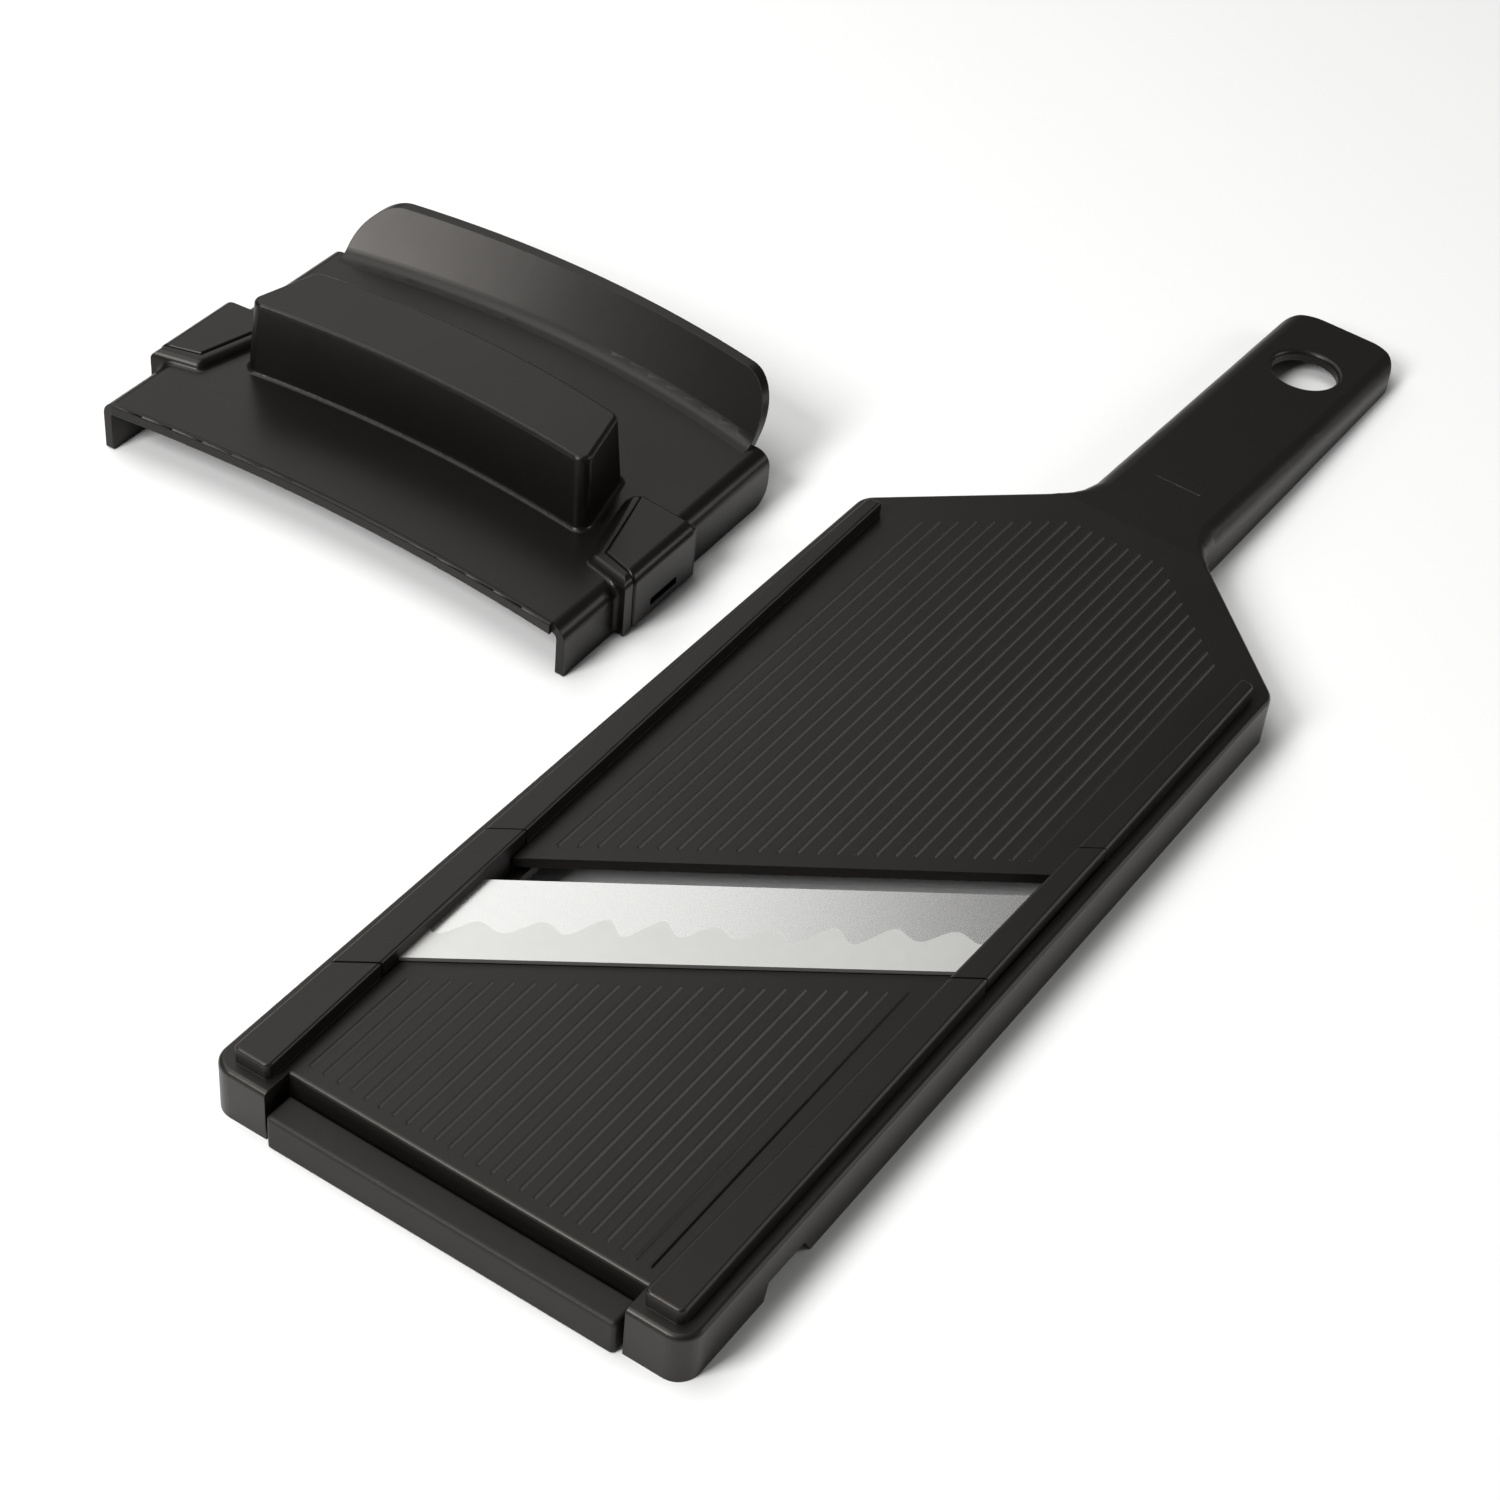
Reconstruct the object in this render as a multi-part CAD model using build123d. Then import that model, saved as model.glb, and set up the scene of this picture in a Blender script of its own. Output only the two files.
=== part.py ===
from build123d import *
import os
from math import cos, radians, sin

# Hand-held mandoline slicer with a diagonal blade insert and a food guard, in millimetres.
# Frame: +X right, +Y from the tip towards the handle, +Z up. The origin is on the resting
# plane, on the centre line, at the tip face of the skirt.

os.makedirs("parts", exist_ok=True)

# Slicer body
HALF_W = 56.0          # half width over the skirt
DECK_Z = 13.0          # top of the deck and of the outer step
DECK_T = 2.6           # deck thickness
WALL = 2.4             # skirt and handle wall
SHOULDER_Y = 229.0     # where the sides turn in towards the neck
NECK_Y = 265.0         # where the shoulder line would meet the handle side
GRIP_HALF_W = 17.2     # half width of the handle
GRIP_END_Y = 381.0
GRIP_END_Z = 7.0       # top of the handle at its free end
GRIP_BEND_Y = 262.0    # the handle top starts to slope down here
GRIP_T = 3.0           # thickness of the handle's top wall
GRIP_ROUND = 4.6       # rounding of the handle's long top edges
HOLE_Y = 355.5
HOLE_R = 8.9
TIP_GAP_HALF = 42.0    # half width of the gap in the tip skirt
PLATE_FRONT_Y = 7.0    # rounded front edge of the lower plate
NOTCH_Y = (25.3, 42.0)  # bowl rest cut in the bottom of both side skirts
NOTCH_H = 4.7

# Guide rails on the deck
RAIL_Z = 16.9
RAIL_OUT = 52.3
RAIL_IN_TIP = 43.4     # inner edge of the rail at Y = 0
RAIL_IN_TAPER = 0.0236  # the inner edge moves out by this much per mm of Y
RAIL_Y = (3.0, 225.4)

# Diagonal blade insert: lines are Y = offset + SLOPE * X
SLOPE = 0.74
SEAM_NEAR = 70.4       # tip side seam across the rails
SEAM_FAR = 118.4       # handle side seam across the rails
PLATE_END = 75.2       # end of the lower plate under the back of the blade
EDGE_Y0 = 103.6        # cutting edge
DECK_END = 112.9       # end of the upper deck, beyond the throat
GAP = 0.3
BLADE_T = 1.0
BLADE_BEVEL = 1.6      # length of the ground bevel
BLADE_TUCK = 2.6       # blade end hidden inside each insert block
BED_T = 3.4            # thickness of the bed under the blade
BLOCK_Z0 = 8.9         # underside of the insert blocks

# Ribs
RIB_N = 25
RIB_PITCH = 3.32
RIB_W = 1.0            # width at the foot
RIB_TOP_W = 0.2
RIB_H = 0.4

# Front bar
BAR_HALF = 40.8
BAR_Y = (-1.3, 5.4)
BAR_Z = (0.0, 8.7)     # the bar is also the foot under the tip
TONGUE_X = (-26.0, 0.0, 26.0)
TONGUE_W = 9.0

# Guard, in its own frame: origin at the middle of its front edge, on the resting plane
GUARD_X, GUARD_Y, GUARD_YAW = -145.4, 140.8, 1.2
SHELL_HALF = 66.0
SHELL_Z = 13.8
SHELL_T = 2.2
SHELL_CORNER = 4.0
SHELL_LEN = 85.0       # length of the side flanges
FLANGE_ROUND = (2.4, 5.5)  # rounding of the flanges' lower corners, front and rear
FRONT_BOW = 3.9        # how far the middle of the front edge sits back
REAR_R = 250.0         # plan radius of the finger shield
BEND_Y = 88.0          # start of the shield's bend, on the centre line
BEND_R = 6.0           # inside radius of the bend
BEND_ANGLE = 50.0
SHIELD_RISE = 14.6     # before its top edge is trimmed level
SHIELD_TOP = 12.2
SHIELD_HALF = 61.0
SHIELD_CORNER = 10.0
BLOCK_H = 19.4
BLOCK_FRONT = (31.0, 34.6)   # Y of the block's front face at its ends and in the middle
BLOCK_BACK = (53.6, 57.8)
BLOCK_HALF = (50.0, 45.0)    # half length at the front and at the back
BLOCK_ROUND = 2.6            # rounding of the block's upright corners
CLIP_CAP = ((69.0, 24.0), (58.6, 27.2), (53.0, 49.6), (69.0, 48.2))
CLIP_TOP = 16.2
SLOT_Y = (31.0, 41.5)
SLOT_Z = (3.2, 5.2)
CLIP_BOTTOM = 1.0
RIM_W = 3.4                  # raised rim of the shell in front of each clip and inside it
RIM_REAR = 1.2               # the same behind it
RIM_TOP = 15.8
RIM_OUT = 68.6
RIM_ROUND = 2.2
PAD_X = 52.9                 # inner face of the clip's guide pad, beside the rail
PAD_Y = (28.5, 45.0)
PAD_Z = (8.3, 10.9)
PIN_R = 0.8
PIN_TIP_Z = 9.6
PIN_XS = (-31.0, -10.5, 10.5, 31.0)
PIN_YS = (40.5, 49.5)


def prism(points, z0, z1):
    """Vertical prism on a closed polygon."""
    face = make_face(Polyline(*[(x, y, z0) for x, y in points], close=True))
    return extrude(face, z1 - z0, dir=(0, 0, 1))


def block(x0, x1, y0, y1, z0, z1):
    return Pos((x0 + x1) / 2, (y0 + y1) / 2, (z0 + z1) / 2) * Box(x1 - x0, y1 - y0, z1 - z0)


def rail_in(y):
    return RAIL_IN_TIP + RAIL_IN_TAPER * y


def diag(y0, x):
    return y0 + SLOPE * x


def grip_top(y, drop=0.0):
    run = (y - GRIP_BEND_Y) / (GRIP_END_Y - GRIP_BEND_Y)
    return DECK_Z - run * (DECK_Z - GRIP_END_Z) - drop


def outline(inset, z, corner):
    """Plan of the body, inset from the outside, as a face at height z."""
    s, g = HALF_W - inset, GRIP_HALF_W - inset
    k = (NECK_Y - SHOULDER_Y) / (HALF_W - GRIP_HALF_W)
    turn = inset * ((1 + k * k) ** 0.5 - k)
    y_side = SHOULDER_Y - turn
    y_neck = y_side + k * (s - g)
    pts = [(-s, inset), (s, inset), (s, y_side), (g, y_neck), (g, GRIP_END_Y - inset)]
    pts += [(-x, y) for x, y in reversed(pts[2:])]
    plan = make_face(Polyline(*pts, close=True))
    plan = fillet([v for v in plan.vertices() if v.Y < 5], max(corner - inset, 1.0))
    plan = fillet([v for v in plan.vertices() if abs(v.Y - y_side) < 1], max(6.0 - inset, 1.5))
    plan = fillet([v for v in plan.vertices() if abs(v.Y - y_neck) < 1], 18.0 + inset)
    plan = fillet([v for v in plan.vertices() if v.Y > GRIP_END_Y - 5], max(10.0 - inset, 3.0))
    return Pos(0, 0, z) * plan


def crown_section(y, half, z_top, r):
    """Cross section of the handle, round on its long top edges."""
    plan = make_face(Polyline((-half, 0), (half, 0), (half, z_top), (-half, z_top), close=True))
    plan = fillet([v for v in plan.vertices() if v.Y > z_top - 0.1], r)
    return Plane(origin=(0, y, 0), x_dir=(1, 0, 0), z_dir=(0, -1, 0)) * plan


def build_crown():
    """Handle with its rounded long edges; the rounding fades out towards the shoulders."""
    end = GRIP_END_Y + 4
    sections = [crown_section(GRIP_BEND_Y - 8, 31.0, DECK_Z, 1.2),
                crown_section(GRIP_BEND_Y, 21.1, DECK_Z, 2.0),
                crown_section(264.5, 19.4, grip_top(264.5), 2.5),
                crown_section(268, 17.95, grip_top(268), 3.3),
                crown_section(274, GRIP_HALF_W, grip_top(274), GRIP_ROUND),
                crown_section(end, GRIP_HALF_W, grip_top(end), GRIP_ROUND)]
    crown = loft(sections[:2])
    for a, b in zip(sections[1:], sections[2:]):
        crown += loft([a, b])
    return crown


def is_hole_rim(edge):
    """Upper rim of the hanging hole."""
    c = edge.center(CenterOf.BOUNDING_BOX)
    return abs(c.X) < 1 and abs(c.Y - HOLE_Y) < 2 and c.Z > grip_top(HOLE_Y, 1.0)


def insert_block(side, grow):
    """Plan polygon of the insert's rail block on one side, grown by a clearance."""
    xi0 = rail_in(diag(SEAM_NEAR, side * 44)) - grow
    xi1 = rail_in(diag(SEAM_FAR, side * 46)) - grow
    xo = RAIL_OUT + grow
    return [(side * xi0, diag(SEAM_NEAR, side * xi0) - grow * 1.8),
            (side * xo, diag(SEAM_NEAR, side * xo) - grow * 1.8),
            (side * xo, diag(SEAM_FAR, side * xo) + grow * 1.2),
            (side * xi1, diag(SEAM_FAR, side * xi1) + grow * 1.2)]


def strip(y0, y1, x):
    """Plan parallelogram between two diagonal lines."""
    return [(-x, diag(y0, -x)), (x, diag(y0, x)), (x, diag(y1, x)), (-x, diag(y1, -x))]


def rib(x, y0, y1):
    """Low ridge along Y with sloping sides."""
    a, b = RIB_W / 2, RIB_TOP_W / 2
    z0, z1 = DECK_Z - 0.2, DECK_Z + RIB_H
    face = make_face(Polyline((x - a, y0, z0), (x + a, y0, z0), (x + a, y0, DECK_Z),
                              (x + b, y0, z1), (x - b, y0, z1), (x - a, y0, DECK_Z), close=True))
    return extrude(face, y1 - y0, dir=(0, 1, 0))


def build_body():
    outer = extrude(outline(0, 0, 5.0), DECK_Z, dir=(0, 0, 1))
    outer = fillet(outer.edges().filter_by(lambda e: e.center().Z > DECK_Z - 0.01), 1.2)
    shape = outer & (block(-70, 70, -5, GRIP_BEND_Y - 8, -1, DECK_Z + 1) + build_crown())

    # Hollow underside of the deck and of the handle
    hollow = extrude(outline(WALL, -1, 5.0), DECK_Z - DECK_T + 1, dir=(0, 0, 1))
    deck_room = hollow & block(-70, 70, -5, 264, -2, DECK_Z)
    slope = make_face(Polyline((0, 268, -1), (0, GRIP_END_Y, -1),
                               (0, GRIP_END_Y, grip_top(GRIP_END_Y, GRIP_T)),
                               (0, 268, grip_top(268, GRIP_T)), close=True))
    grip_room = hollow & extrude(slope, 60, dir=(1, 0, 0), both=True)
    shape = shape - deck_room - grip_room
    shape -= Pos(0, HOLE_Y, 6) * Cylinder(HOLE_R, 30)
    shape = fillet(shape.edges().filter_by(is_hole_rim), 1.0)
    shape -= block(-6.3, 6.3, 284.8, 285.1, grip_top(285, 0.15), DECK_Z)

    # Tip: the skirt stands back behind the front bar
    shape -= block(-TIP_GAP_HALF, TIP_GAP_HALF, -1, PLATE_FRONT_Y, -1, DECK_Z + 1)
    shape += block(-TIP_GAP_HALF - 1, TIP_GAP_HALF + 1, PLATE_FRONT_Y, PLATE_FRONT_Y + WALL, 0, DECK_Z - 1)
    for side in (-1, 1):
        shape += Pos(side * (TIP_GAP_HALF + WALL / 2), 4.5, 6) * Box(WALL, 8, 12)
    for x in TONGUE_X:
        shape -= block(x - TONGUE_W / 2 - 0.05, x + TONGUE_W / 2 + 0.05, 5, 11, 2.95, 6.05)
    shape = fillet(shape.edges().filter_by(Axis.X).filter_by(
        lambda e: abs(e.center().Y - PLATE_FRONT_Y) < 0.01 and e.center().Z > DECK_Z - 0.1), 0.8)

    # Rails with a tapering width
    for side in (-1, 1):
        y0, y1 = RAIL_Y
        rail = prism([(side * RAIL_OUT, y0), (side * RAIL_OUT, y1), (side * rail_in(y1), y1),
                      (side * rail_in(y0), y0)], DECK_Z - 0.5, RAIL_Z)
        rail = fillet(rail.edges().filter_by(Axis.Z).filter_by(
            lambda e: abs(e.center().X) > RAIL_OUT - 0.1 or e.center().Y < 5), 1.4)
        shape += fillet(rail.edges().filter_by(lambda e: e.center().Z > RAIL_Z - 0.01), 0.7)

    # Diagonal window for the insert, with a ledge that carries each insert block
    shape -= prism(strip(PLATE_END, DECK_END, 46.5), DECK_Z - DECK_T - 1, RAIL_Z + 1)
    for side in (-1, 1):
        shape -= prism(insert_block(side, GAP), BLOCK_Z0 - 2, RAIL_Z + 1)
        ledge = prism(insert_block(side, 2.6), BLOCK_Z0 - GAP - 2.4, BLOCK_Z0)
        ledge &= block(-HALF_W + 1, HALF_W - 1, 0, 240, 0, BLOCK_Z0 - GAP)
        keep = prism(insert_block(side, -2.2), 0, DECK_Z)
        shape += ledge - keep
    # Fine ribs on both decks
    for i in range(RIB_N):
        x = (i - (RIB_N - 1) / 2) * RIB_PITCH
        far = min(253.5, 264.5 - 0.875 * abs(x))
        spans = [(10.6, diag(PLATE_END, x) - 6.0), (diag(DECK_END, x) + 5.0, far)]
        for y0, y1 in spans:
            shape += rib(x, y0, y1)

    # Bowl rest notches
    for side in (-1, 1):
        y0, y1 = NOTCH_Y
        cut = make_face(Polyline((side * 52, y0, -1), (side * 52, y0 + 1.4, NOTCH_H),
                                 (side * 52, y1 - 3.3, NOTCH_H), (side * 52, y1, -1), close=True))
        shape -= extrude(cut, 6, dir=(side, 0, 0))
    return shape


def build_bar():
    bar = block(-BAR_HALF, BAR_HALF, *BAR_Y, *BAR_Z)
    bar = fillet(bar.edges().filter_by(
        lambda e: e.center().Y < BAR_Y[1] - 0.1 and e.center().Z > 1), 0.9)
    bar = fillet(bar.edges().filter_by(
        lambda e: e.center().Z < 0.01 and e.center().Y < BAR_Y[1] - 0.1), 0.5)
    for x in TONGUE_X:
        bar += block(x - TONGUE_W / 2, x + TONGUE_W / 2, BAR_Y[1] - 0.5, PLATE_FRONT_Y + WALL, 3.0, 6.0)
    return bar


def build_carrier():
    bed = prism(strip(PLATE_END + 0.4, EDGE_Y0 - 3.0, 50), DECK_Z - BED_T, DECK_Z)
    bed &= block(-48.2, 48.2, 0, 200, 0, 30)
    carrier = bed
    for side in (-1, 1):
        rail = prism(insert_block(side, 0), BLOCK_Z0, RAIL_Z)
        rail = fillet(rail.edges().filter_by(
            lambda e: e.center().Z > RAIL_Z - 0.01 and e.length > 20), 0.7)
        carrier += rail
    carrier -= blade_prism(0.05, 0.0)
    for y0 in (PLATE_END + 9, PLATE_END + 17):
        carrier += prism(strip(y0, y0 + 2, 39), DECK_Z - BED_T - 2.0, DECK_Z - BED_T)
    return carrier


def blade_prism(side_gap, extra):
    """Blade blank: a parallelogram whose ends run along the rails."""
    x = rail_in(80) + BLADE_TUCK + side_gap
    return prism(strip(PLATE_END + 0.4 - side_gap, EDGE_Y0 + side_gap, x),
                 DECK_Z, DECK_Z + BLADE_T + side_gap + extra)


def build_blade():
    blade = blade_prism(0, 0)
    n = (1 + SLOPE * SLOPE) ** 0.5
    a, b = EDGE_Y0 - BLADE_BEVEL * n, EDGE_Y0 + 1
    run = (b - a) * (BLADE_T - 0.12) / (BLADE_BEVEL * n)
    wedge = [Plane.YZ.offset(x) * make_face(Polyline(
        (diag(a, x), DECK_Z - 0.001), (diag(b, x), DECK_Z - 0.001), (diag(b, x), DECK_Z + run),
        close=True)) for x in (-60, 60)]
    return blade - loft(wedge, ruled=True)


def arc_edge(half, y_end, y_mid, z):
    return ThreePointArc((-half, y_end, z), (0, y_mid, z), (half, y_end, z))


def grip_plan(inset, z):
    """Plan of the guard's grip block: two bowed long sides, slanting ends."""
    hf, hb = BLOCK_HALF[0] - inset, BLOCK_HALF[1] - inset
    front = arc_edge(hf, BLOCK_FRONT[0] + inset, BLOCK_FRONT[1] + inset, z)
    back = arc_edge(hb, BLOCK_BACK[0] - inset, BLOCK_BACK[1] - inset, z)
    return make_face([front, Line(front @ 1, back @ 1), back, Line(back @ 0, front @ 0)])


def channel(half, z0, z1, r, y0, y1):
    """Square-bottomed bar along Y with rounded top edges."""
    bar = block(-half, half, y0, y1, z0, z1)
    return fillet(bar.edges().filter_by(Axis.Y).filter_by(lambda e: e.center().Z > z1 - 0.1), r)


def grow_plan(points, out, rear):
    """Clip outline grown by a margin in front, inside and behind, but not beyond its outer side."""
    (xo, ya), (xi, yb), (xj, yc), (_, yd) = points
    return [(xo, ya - out), (xi - out * 0.75, yb - out), (xj - out, yc + rear), (xo, yd + rear)]


def build_shield():
    """Curved finger shield: a bent strip turned about a vertical axis in front of the guard."""
    a = radians(BEND_ANGLE)
    cz = SHELL_Z + BEND_R
    slope = (SHIELD_RISE - BEND_R * (1 - cos(a))) / sin(a)

    def at(r, ang, along=0.0):
        return (0, BEND_Y + r * sin(ang) + along * cos(a), cz - r * cos(ang) + along * sin(a))

    r0, r1 = BEND_R, BEND_R + SHELL_T
    flat = BEND_Y - 14
    inner = [Line((0, flat, SHELL_Z), at(r0, 0)), ThreePointArc(at(r0, 0), at(r0, a / 2), at(r0, a)),
             Line(at(r0, a), at(r0, a, slope))]
    outer = [Line(at(r1, a, slope), at(r1, a)), ThreePointArc(at(r1, a), at(r1, a / 2), at(r1, 0)),
             Line(at(r1, 0), (0, flat, SHELL_Z - SHELL_T))]
    ends = [Line(at(r0, a, slope), at(r1, a, slope)),
            Line((0, flat, SHELL_Z - SHELL_T), (0, flat, SHELL_Z))]
    section = make_face(inner + outer + ends)
    centre = Axis((0, BEND_Y - REAR_R, 0), (0, 0, 1))
    shield = revolve(section, centre, 20)
    shield += revolve(section, centre, -20)
    top = SHELL_Z + SHIELD_TOP
    front = make_face(Polyline((-SHIELD_HALF, 5), (SHIELD_HALF, 5), (SHIELD_HALF, top),
                               (-SHIELD_HALF, top), close=True))
    front = fillet([v for v in front.vertices() if v.Y > top - 1], SHIELD_CORNER)
    front = Plane(origin=(0, 130, 0), x_dir=(1, 0, 0), z_dir=(0, -1, 0)) * front
    return shield & extrude(front, 90, dir=(0, -1, 0))


def is_block_foot(edge):
    """Line where the grip block meets the top plate."""
    c = edge.center()
    near = abs(c.X) < BLOCK_HALF[0] + 1 and BLOCK_FRONT[0] - 1 < c.Y < BLOCK_BACK[1] + 1
    return near and abs(c.Z - SHELL_Z) < 0.01


def build_shell():
    shell = channel(SHELL_HALF, 0, SHELL_Z, SHELL_CORNER, 0, SHELL_LEN)
    side = Plane.YZ * make_face(Polyline((0, 0), (SHELL_LEN, 0), (SHELL_LEN, 20), (0, 20), close=True))
    side = fillet([v for v in side.vertices() if v.Z < 1 and v.Y < 1], FLANGE_ROUND[0])
    side = fillet([v for v in side.vertices() if v.Z < 1 and v.Y > SHELL_LEN - 1], FLANGE_ROUND[1])
    shell &= extrude(side, 70, dir=(1, 0, 0), both=True)
    shell -= channel(SHELL_HALF - SHELL_T, -1, SHELL_Z - SHELL_T, SHELL_CORNER - SHELL_T,
                     -1, SHELL_LEN + 1)
    shell += build_shield()

    # Bowed front edge with a low bead along it
    half = SHELL_HALF - SHELL_CORNER + 0.6
    bow = arc_edge(half, 0, FRONT_BOW, -1)
    cut = make_face([bow, Polyline(bow @ 1, (half, -2, -1), (-half, -2, -1), bow @ 0)])
    lip = arc_edge(half, 0, FRONT_BOW, SHELL_Z - 0.5)
    back = arc_edge(half, 1.5, FRONT_BOW + 1.5, SHELL_Z - 0.5)
    bead = extrude(make_face([lip, Line(lip @ 1, back @ 1), back, Line(back @ 0, lip @ 0)]), 1.1)
    bead = fillet(bead.edges().filter_by(lambda e: e.center().Z > SHELL_Z and e.length > 50), 0.55)
    shell = shell - extrude(cut, 20, dir=(0, 0, 1)) + bead
    for side_x in (-1, 1):
        shell -= Pos(side_x * (half + 5), 0, 5) * Box(10, 2.4, 30)

    # Raised rims and windows for the side clips
    hollow = channel(SHELL_HALF - 1.0, -1, SHELL_Z - 1.0, SHELL_CORNER - 1.0, -1, SHELL_LEN + 1)
    for side_x in (1, -1):
        rim = prism(grow_plan(CLIP_CAP, RIM_W, RIM_REAR), 0.5, RIM_TOP)
        rim &= block(0, RIM_OUT, 0, 90, 0, 20)
        rim = fillet(rim.edges().filter_by(Axis.Z).filter_by(lambda e: e.center().X < 62), 2.4)
        rim = fillet(rim.edges().filter_by(lambda e: e.center().Z > RIM_TOP - 0.1), RIM_ROUND)
        rim -= hollow
        seat = prism(grow_plan(CLIP_CAP, 0.2, 0.2), -1, 20)
        seat -= channel(SHELL_HALF, -2, SHELL_Z, SHELL_CORNER, 0, SHELL_LEN)
        rim -= seat
        window = block(50, 75, PAD_Y[0] - 0.1, PAD_Y[1] + 0.1, PAD_Z[0] - 0.1, PAD_Z[1] + 0.1)
        if side_x < 0:
            rim, window = mirror(rim, Plane.YZ), mirror(window, Plane.YZ)
        shell = shell + rim - window

    # Hollow grip block
    top = SHELL_Z + BLOCK_H
    grip = loft([grip_plan(0.0, SHELL_Z - 1), grip_plan(1.3, top)])
    grip = fillet(grip.edges().filter_by(lambda e: SHELL_Z < e.center().Z < top - 1), BLOCK_ROUND)
    grip = fillet(grip.edges().filter_by(lambda e: e.center().Z > top - 0.1), 1.1)
    shell += grip
    shell = fillet(shell.edges().filter_by(is_block_foot), 1.2)
    shell -= loft([grip_plan(2.2, SHELL_Z - SHELL_T - 1), grip_plan(3.4, top - SHELL_T)])
    return shell


def build_clip():
    """Right-hand clip: a cap on the top plate, a side wall and a guide pad."""
    clip = prism(CLIP_CAP, CLIP_BOTTOM, CLIP_TOP)
    clip = fillet(clip.edges().filter_by(
        lambda e: e.center().Z > CLIP_TOP - 0.1 and e.center().X > SHELL_HALF), 3.0)
    clip = fillet(clip.edges().filter_by(
        lambda e: e.center().Z > CLIP_TOP - 0.1 and e.center().X < SHELL_HALF), 0.6)
    clip -= channel(SHELL_HALF + 0.1, -2, SHELL_Z + 0.1, SHELL_CORNER, 0, SHELL_LEN)
    clip += block(PAD_X, SHELL_HALF + 1, *PAD_Y, *PAD_Z)
    clip -= block(60, 75, *SLOT_Y, *SLOT_Z)
    return clip


def build_pin_plate():
    z1 = SHELL_Z + BLOCK_H - SHELL_T
    plate = extrude(grip_plan(3.6, z1 - 2.0), 2.0, dir=(0, 0, 1))
    for x in PIN_XS:
        for y in PIN_YS:
            plate -= Pos(x, y, z1 - 1.5) * Cylinder(PIN_R + 0.01, 2.0)
    return plate


def build_pin(x, y):
    z1 = SHELL_Z + BLOCK_H - SHELL_T - 0.6
    half = make_face(Polyline((0, 0, PIN_TIP_Z), (PIN_R, 0, PIN_TIP_Z + 4), (PIN_R, 0, z1),
                              (0, 0, z1), close=True))
    return Pos(x, y, 0) * revolve(half, Axis.Z)


def export(name, shape):
    shape.label = name
    export_step(shape, f"parts/{name}.step")


export("body", build_body())
export("front_bar", build_bar())
export("blade_carrier", build_carrier())
export("blade", build_blade())

rest = Pos(GUARD_X, GUARD_Y, 0) * Rot(0, 0, GUARD_YAW)
export("guard_shell", rest * build_shell())
export("guard_clip_right", rest * build_clip())
export("guard_clip_left", rest * mirror(build_clip(), Plane.YZ))
export("pin_plate", rest * build_pin_plate())
for i, x in enumerate(PIN_XS):
    for j, y in enumerate(PIN_YS):
        export(f"food_pin_{i * len(PIN_YS) + j + 1}", rest * build_pin(x, y))
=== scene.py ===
"""Looks, light and camera for the mandoline slicer and its food guard, in metres."""

import math

import bpy
from mathutils import Matrix, Vector


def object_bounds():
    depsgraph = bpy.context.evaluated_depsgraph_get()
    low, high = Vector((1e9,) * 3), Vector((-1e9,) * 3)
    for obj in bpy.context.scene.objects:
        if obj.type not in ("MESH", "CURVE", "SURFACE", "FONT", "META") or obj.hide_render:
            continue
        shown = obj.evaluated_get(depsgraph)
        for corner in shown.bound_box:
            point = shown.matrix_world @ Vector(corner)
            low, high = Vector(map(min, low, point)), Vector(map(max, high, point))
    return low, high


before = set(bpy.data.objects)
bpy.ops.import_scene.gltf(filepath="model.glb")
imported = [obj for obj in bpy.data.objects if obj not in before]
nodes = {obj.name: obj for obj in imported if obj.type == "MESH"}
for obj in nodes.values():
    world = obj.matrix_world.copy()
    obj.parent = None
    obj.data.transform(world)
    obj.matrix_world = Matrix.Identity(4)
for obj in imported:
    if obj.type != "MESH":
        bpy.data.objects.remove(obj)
cad_box = [list(corner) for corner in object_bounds()]

MM = 0.001
PLASTIC_DARK = (0.0068, 0.0058, 0.0048)
PLASTIC_LIGHT = (0.0096, 0.0083, 0.0070)
# lighter tone for rubbed edges and scuffs; on the edges it is partly a painted highlight
RUBBED_AND_HIGHLIGHT_TONE = (0.032, 0.029, 0.026)
DUST = (0.20, 0.19, 0.175)
PLASTIC_TINT = (1.0, 0.955, 0.91, 1.0)  # tint of the reflection, a little warm
ELASTOMER = (0.0078, 0.0070, 0.0062)
ELASTOMER_TINT = (1.0, 0.96, 0.92, 1.0)
STEEL = (0.80, 0.80, 0.785)
STEEL_MATTE = (0.75, 0.75, 0.73)
STEEL_GLINT = (0.97, 0.97, 0.96)
STEEL_LINE = (0.95, 0.95, 0.94)
PAPER = ((0.88, 0.88, 0.875), (0.90, 0.90, 0.895))

# The blade's diagonal in plan: Y = offset + SLOPE * X
SLOPE = 0.74
WAVE_MID = 87.2 * MM      # middle of the wave pattern, as such an offset
WAVE_PERIOD = 9.65 * MM   # length of one wave along X
WAVE_CREST = 0.4 * MM     # X of one crest
WAVE_SIZE = 2.45 * MM     # height of the humps above and below the line's middle
WAVE_SPREAD = 0.6 * MM    # how much that height varies along the blade
WAVE_SWELL = 0.6 * MM     # slow rise and fall of the whole line
WAVE_LEAN = 0.25

FLOOR_HALF = 4.0
FLOOR_DROP = 0.02 * MM    # gap under the lowest piece
SENSOR_MM = 36.0


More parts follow.
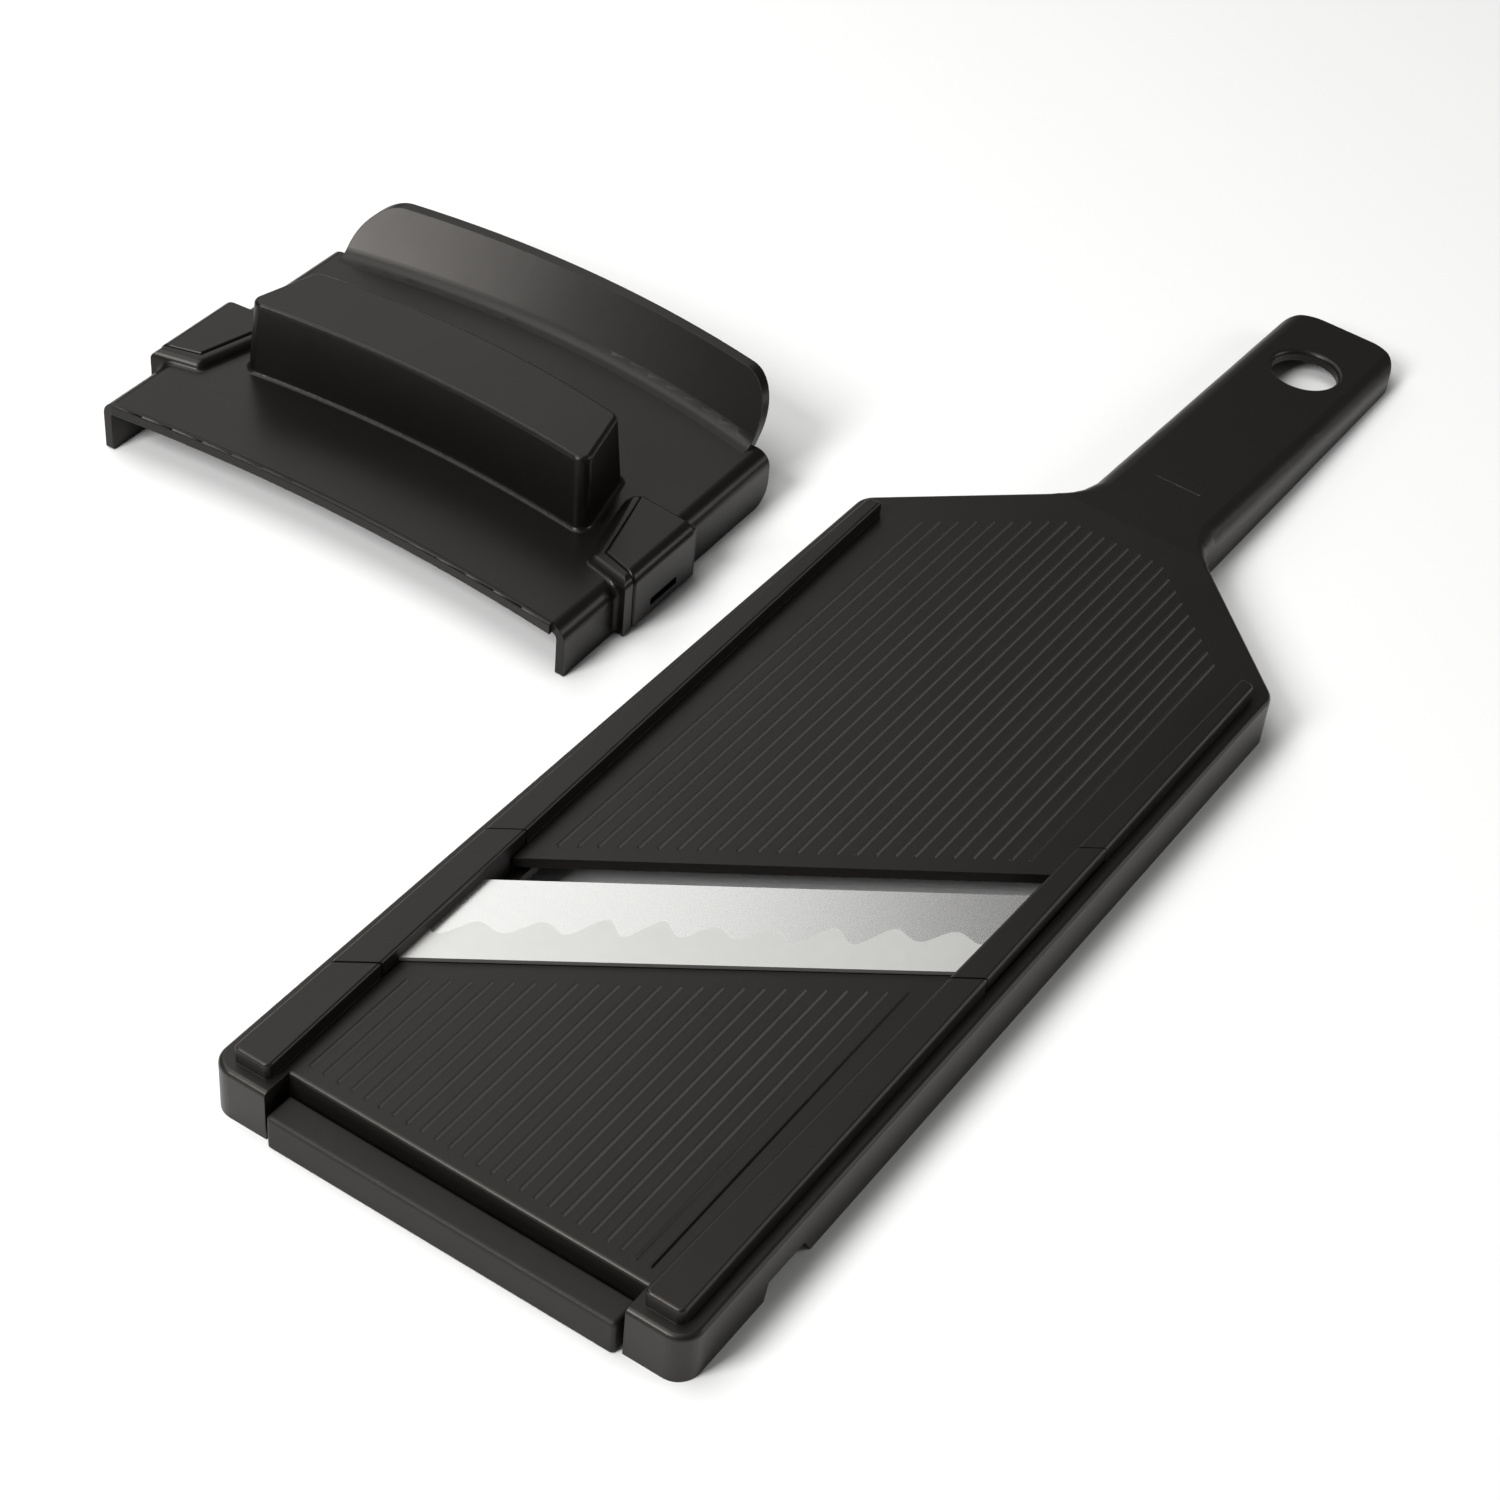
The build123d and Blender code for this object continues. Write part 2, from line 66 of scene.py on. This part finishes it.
class Graph:
    """A material's node tree, with short calls to add and join its nodes."""

    def __init__(self, name):
        self.material = bpy.data.materials.new(name)
        self.material.use_nodes = True
        self.tree = self.material.node_tree
        self.tree.nodes.clear()
        self.shader = self.add("ShaderNodeBsdfPrincipled")
        output = self.add("ShaderNodeOutputMaterial")
        self.tree.links.new(self.shader.outputs[0], output.inputs["Surface"])
        self.coords = self.add("ShaderNodeTexCoord").outputs["Object"]

    def add(self, kind, **settings):
        node = self.tree.nodes.new(kind)
        for key, value in settings.items():
            setattr(node, key, value)
        return node

    def feed(self, socket, value):
        """Joins an output to a socket, or sets the socket's own value."""
        if isinstance(value, bpy.types.NodeSocket):
            self.tree.links.new(value, socket)
        else:
            socket.default_value = value

    def math(self, operation, a, b=0.0, c=0.0, clamp=False):
        node = self.add("ShaderNodeMath", operation=operation, use_clamp=clamp)
        for socket, value in zip(node.inputs, (a, b, c)):
            self.feed(socket, value)
        return node.outputs[0]

    def noise(self, scale, detail=3.0, roughness=0.55, stretch=None):
        node = self.add("ShaderNodeTexNoise")
        coords = self.coords
        if stretch:
            mapping = self.add("ShaderNodeMapping")
            self.feed(mapping.inputs["Vector"], coords)
            mapping.inputs["Scale"].default_value = stretch
            coords = mapping.outputs[0]
        self.feed(node.inputs["Vector"], coords)
        node.inputs["Scale"].default_value = scale
        node.inputs["Detail"].default_value = detail
        node.inputs["Roughness"].default_value = roughness
        return node.outputs["Fac"]

    def ramp(self, value, low, high, out_low=0.0, out_high=1.0):
        """Maps low..high to out_low..out_high, held at both ends."""
        node = self.add("ShaderNodeMapRange", clamp=True)
        for socket, number in zip(node.inputs, (value, low, high, out_low, out_high)):
            self.feed(socket, number)
        return node.outputs[0]

    def mix(self, factor, a, b):
        """Mix of two colours."""
        node = self.add("ShaderNodeMix", data_type="RGBA")
        self.feed(node.inputs[0], factor)
        for socket, colour in ((node.inputs[6], a), (node.inputs[7], b)):
            joined = isinstance(colour, bpy.types.NodeSocket)
            self.feed(socket, colour if joined else (*colour, 1.0))
        return node.outputs[2]

    def edges(self, radius, low, high):
        """Mask of the sharp edges, and a normal that rounds them."""
        bevel = self.add("ShaderNodeBevel", samples=6)
        bevel.inputs["Radius"].default_value = radius
        dot = self.add("ShaderNodeVectorMath", operation="DOT_PRODUCT")
        self.feed(dot.inputs[0], bevel.outputs[0])
        self.feed(dot.inputs[1], self.add("ShaderNodeNewGeometry").outputs["Normal"])
        bend = self.math("SUBTRACT", 1.0, dot.outputs["Value"])
        return self.ramp(bend, low, high), bevel.outputs[0]

    def bump(self, height, strength, distance, normal=None):
        node = self.add("ShaderNodeBump")
        self.feed(node.inputs["Height"], height)
        node.inputs["Strength"].default_value = strength
        node.inputs["Distance"].default_value = distance
        if normal is not None:
            self.feed(node.inputs["Normal"], normal)
        return node.outputs[0]


def specks(g, scale, size, share):
    """Mask of scattered dust grains: a share of the cells hold one each."""
    cells = g.add("ShaderNodeTexVoronoi")
    g.feed(cells.inputs["Vector"], g.coords)
    cells.inputs["Scale"].default_value = scale
    split = g.add("ShaderNodeSeparateColor")
    g.feed(split.inputs[0], cells.outputs["Color"])
    chosen = g.math("LESS_THAN", split.outputs[0], share)
    reach = g.math("MULTIPLY_ADD", split.outputs[1], size, size * 0.4)
    inside = g.ramp(cells.outputs["Distance"], reach, 0.0)
    return g.math("MULTIPLY", chosen, inside)


def plastic(name, roughness, grain, dust, ior, shade, rounding):
    """Black injection moulding with a fine eroded grain, a little dust, and edges lightened
    partly by rubbing and partly by a painted edge highlight.
    """
    g = Graph(name)
    cloud = g.noise(38.0, detail=4.0)
    fine = g.noise(2600.0, detail=2.0)
    smear = g.noise(16.0, detail=5.0, stretch=(1.0, 0.35, 1.0))
    # edge mask: rubbed wear, and partly a painted highlight along every edge
    edge_wear_and_highlight, rounded = g.edges(rounding, 0.015, 0.16)
    patchy = g.ramp(g.noise(420.0, detail=3.0), 0.38, 0.62, 0.25, 1.0)
    edge_wear_and_highlight = g.math("MULTIPLY", edge_wear_and_highlight, patchy)
    grains = specks(g, 260.0, 0.045, dust)
    dark, light = ([c * shade for c in tone] for tone in (PLASTIC_DARK, PLASTIC_LIGHT))
    colour = g.mix(cloud, dark, light)
    # lighter colour on the edges: partly wear, partly a painted edge highlight
    colour = g.mix(g.math("MULTIPLY", edge_wear_and_highlight, 0.55), colour, RUBBED_AND_HIGHLIGHT_TONE)
    colour = g.mix(g.math("MULTIPLY", grains, 0.5), colour, DUST)
    rough = g.ramp(smear, 0.3, 0.7, roughness - 0.035, roughness + 0.035)
    rough = g.math("MULTIPLY_ADD", fine, 0.05, rough)
    rough = g.math("MULTIPLY_ADD", edge_wear_and_highlight, -0.08, rough)
    rough = g.math("MULTIPLY_ADD", grains, 0.3, rough, clamp=True)
    swell = g.bump(g.noise(150.0, detail=2.0), 0.10, 0.25 * MM, rounded)
    texture = g.bump(fine, grain, 0.05 * MM, swell)
    g.feed(g.shader.inputs["Base Color"], colour)
    g.feed(g.shader.inputs["Roughness"], rough)
    g.feed(g.shader.inputs["Normal"], texture)
    g.shader.inputs["IOR"].default_value = ior
    g.shader.inputs["Specular Tint"].default_value = PLASTIC_TINT
    return g.material


def elastomer():
    """Matte rubber with a felt-like fine grain, faint scuffs and a painted highlight along its
    edges.
    """
    g = Graph("bar_rubber")
    fine = g.noise(3200.0, detail=3.0, roughness=0.7)
    scuff = g.ramp(g.noise(90.0, detail=6.0, stretch=(0.25, 1.0, 1.0)), 0.56, 0.66)
    edge_wear_and_highlight, rounded = g.edges(0.5 * MM, 0.02, 0.2)
    colour = g.mix(g.noise(60.0), ELASTOMER, [c * 1.35 for c in ELASTOMER])
    # scuffs and edges get the lighter tone; on the edges it is partly a painted highlight
    scuffs_and_edge_highlight = g.math("MULTIPLY", g.math("ADD", scuff, edge_wear_and_highlight), 0.3, clamp=True)
    colour = g.mix(scuffs_and_edge_highlight, colour, RUBBED_AND_HIGHLIGHT_TONE)
    rough = g.ramp(fine, 0.3, 0.7, 0.5, 0.62)
    g.feed(g.shader.inputs["Base Color"], colour)
    g.feed(g.shader.inputs["Roughness"], rough)
    g.feed(g.shader.inputs["Normal"], g.bump(fine, 0.25, 0.06 * MM, rounded))
    g.shader.inputs["IOR"].default_value = 1.38
    g.shader.inputs["Specular Tint"].default_value = ELASTOMER_TINT
    return g.material


def wave_offset(g, x):
    """Height of the wave line across the blade: smooth humps that lean a little to -X."""
    rate = 2 * math.pi / WAVE_PERIOD
    turns = g.math("MULTIPLY_ADD", x, rate, -rate * WAVE_CREST)
    drift = g.math("MULTIPLY", g.math("SINE", g.math("MULTIPLY_ADD", turns, 0.13, 0.5)), 0.45)
    phase = g.math("ADD", turns, drift)
    lean = g.math("MULTIPLY_ADD", g.math("COSINE", phase), WAVE_LEAN, phase)
    crest = g.math("COSINE", lean)
    size = g.math("SINE", g.math("MULTIPLY_ADD", turns, 0.27, 4.2))
    size = g.math("MULTIPLY_ADD", size, WAVE_SPREAD, WAVE_SIZE)
    swell = g.math("SINE", g.math("MULTIPLY_ADD", turns, 0.19, 3.3))
    return g.math("MULTIPLY_ADD", swell, WAVE_SWELL, g.math("MULTIPLY", crest, size))


def steel_blade():
    """Polished steel with a matte tempered zone along its back, bounded by a wave line."""
    g = Graph("blade_steel")
    place = g.add("ShaderNodeSeparateXYZ")
    g.feed(place.inputs[0], g.coords)
    x, y = place.outputs[0], place.outputs[1]
    offset = g.math("MULTIPLY_ADD", x, -SLOPE, y)
    edge = g.math("ADD", wave_offset(g, x), WAVE_MID)
    beyond = g.math("SUBTRACT", offset, edge)
    polished = g.ramp(beyond, -0.12 * MM, 0.12 * MM)
    rim = g.math("SUBTRACT", 1.0, g.ramp(g.math("ABSOLUTE", beyond), 0.0, 0.35 * MM))
    grain = g.noise(5200.0, detail=2.0, roughness=0.7)
    brushed = g.noise(900.0, detail=4.0, stretch=(0.06, 1.0, 1.0))
    sparkle = g.math("MULTIPLY", specks(g, 620.0, 0.13, 0.10), g.ramp(polished, 0.4, 1.0))
    matte = g.mix(g.noise(300.0, detail=4.0), STEEL_MATTE, [c * 0.94 for c in STEEL_MATTE])
    bright = g.mix(brushed, STEEL, [c * 0.96 for c in STEEL])
    colour = g.mix(polished, matte, bright)
    colour = g.mix(g.math("MULTIPLY", rim, 0.35), colour, STEEL_LINE)
    colour = g.mix(sparkle, colour, STEEL_GLINT)
    rough = g.ramp(polished, 0.0, 1.0, 0.52, 0.24)
    rough = g.math("MULTIPLY_ADD", grain, 0.06, rough)
    rough = g.math("MULTIPLY_ADD", sparkle, 0.4, rough)
    relief = g.bump(brushed, 0.05, 0.02 * MM)
    relief = g.bump(grain, 0.12, 0.02 * MM, relief)
    g.feed(g.shader.inputs["Base Color"], colour)
    g.feed(g.shader.inputs["Roughness"], rough)
    g.feed(g.shader.inputs["Normal"], relief)
    g.shader.inputs["Metallic"].default_value = 1.0
    return g.material


def steel_pin():
    """Drawn stainless wire with a ground point."""
    g = Graph("pin_steel")
    lines = g.noise(700.0, detail=4.0, stretch=(3.0, 3.0, 0.15))
    colour = g.mix(lines, STEEL, [c * 0.82 for c in STEEL])
    g.feed(g.shader.inputs["Base Color"], colour)
    g.feed(g.shader.inputs["Roughness"], g.ramp(lines, 0.3, 0.7, 0.2, 0.36))
    g.feed(g.shader.inputs["Normal"], g.bump(lines, 0.15, 0.02 * MM))
    g.shader.inputs["Metallic"].default_value = 1.0
    return g.material


def paper():
    """Pale matte floor with the faintest tooth."""
    g = Graph("floor_paper")
    tooth = g.noise(900.0, detail=4.0)
    g.feed(g.shader.inputs["Base Color"], g.mix(tooth, *PAPER))
    g.feed(g.shader.inputs["Roughness"], g.ramp(tooth, 0.3, 0.7, 0.8, 0.9))
    g.feed(g.shader.inputs["Normal"], g.bump(tooth, 0.05, 0.05 * MM))
    return g.material


def dress(node, material):
    """Gives a CAD node one material in all its slots."""
    slots = nodes[node].material_slots
    if not slots:
        nodes[node].data.materials.append(material)
    for slot in slots:
        slot.link = "OBJECT"
        slot.material = material


def add_floor():
    mesh = bpy.data.meshes.new("floor")
    half, z = FLOOR_HALF, cad_box[0][2] - FLOOR_DROP
    corners = [(-half, -half, z), (half, -half, z), (half, half, z), (-half, half, z)]
    mesh.from_pydata(corners, [], [(0, 1, 2, 3)])
    floor = bpy.data.objects.new("floor", mesh)
    bpy.context.scene.collection.objects.link(floor)
    mesh.materials.append(paper())


def add_softbox(name, place, target, size, radiance):
    """Rectangular area light that faces its target, with a given radiance."""
    light = bpy.data.lights.new(name, "AREA")
    light.shape = "RECTANGLE"
    light.size, light.size_y = size
    light.energy = radiance * math.pi * size[0] * size[1]
    lamp = bpy.data.objects.new(name, light)
    bpy.context.scene.collection.objects.link(lamp)
    lamp.location = place
    lamp.rotation_euler = (Vector(target) - Vector(place)).to_track_quat("-Z", "Y").to_euler()


def add_lights():
    world = bpy.context.scene.world or bpy.data.worlds.new("studio")
    bpy.context.scene.world = world
    world.use_nodes = True
    background = world.node_tree.nodes["Background"]
    background.inputs["Color"].default_value = (1.0, 0.98, 0.95, 1.0)
    background.inputs["Strength"].default_value = 0.10
    add_softbox("overhead", (-0.55, 0.0, 1.4), (0.0, 0.12, 0.0), (1.0, 1.0), 3.6)
    add_softbox("key", (-0.36, -0.80, 0.88), (-0.14, 0.18, 0.0), (0.40, 0.60), 21.0)
    add_softbox("left_panel", (-1.10, 0.80, 1.00), (0.0, 0.10, 0.0), (1.35, 1.1), 1.2)
    add_softbox("rear_right", (1.25, 1.05, 0.62), (0.0, 0.10, 0.0), (0.9, 0.5), 4.5)


def add_camera(place, azimuth, elevation, roll, focal_share, shift):
    """Camera that looks down at an azimuth (towards +X from the tip) and elevation, rolled."""
    a, e, r = (math.radians(v) for v in (azimuth, elevation, roll))
    back = Vector((math.sin(a) * math.cos(e), -math.cos(a) * math.cos(e), math.sin(e)))
    level = Vector((math.cos(a), math.sin(a), 0.0))
    up = back.cross(level)
    right = level * math.cos(r) + up * math.sin(r)
    up = back.cross(right)
    data = bpy.data.cameras.new("camera")
    data.sensor_width = SENSOR_MM
    data.lens = focal_share * data.sensor_width
    data.shift_x, data.shift_y = shift
    camera = bpy.data.objects.new("camera", data)
    bpy.context.scene.collection.objects.link(camera)
    turn = Matrix((right, up, back)).transposed().to_4x4()
    camera.matrix_world = Matrix.Translation(place) @ turn
    bpy.context.scene.camera = camera


body_plastic = plastic("satin_plastic", roughness=0.35, grain=0.10, dust=0.02,
                       ior=1.39, shade=0.95, rounding=0.12 * MM)
guard_plastic = plastic("guard_plastic", roughness=0.30, grain=0.08, dust=0.10,
                        ior=1.34, shade=0.65, rounding=0.25 * MM)
for node in ("body", "blade_carrier"):
    dress(node, body_plastic)
for node in ("guard_shell", "guard_clip_left", "guard_clip_right", "pin_plate"):
    dress(node, guard_plastic)
dress("front_bar", elastomer())
dress("blade", steel_blade())
pin_material = steel_pin()
for node in nodes:
    if node.startswith("food_pin_"):
        dress(node, pin_material)

add_floor()
add_lights()
add_camera(place=(0.23174, -0.29778, 0.47226), azimuth=24.3, elevation=43.8, roll=10.3,
           focal_share=2.1031, shift=(-0.15895, 0.08161))
bpy.context.scene.view_settings.view_transform = "Standard"
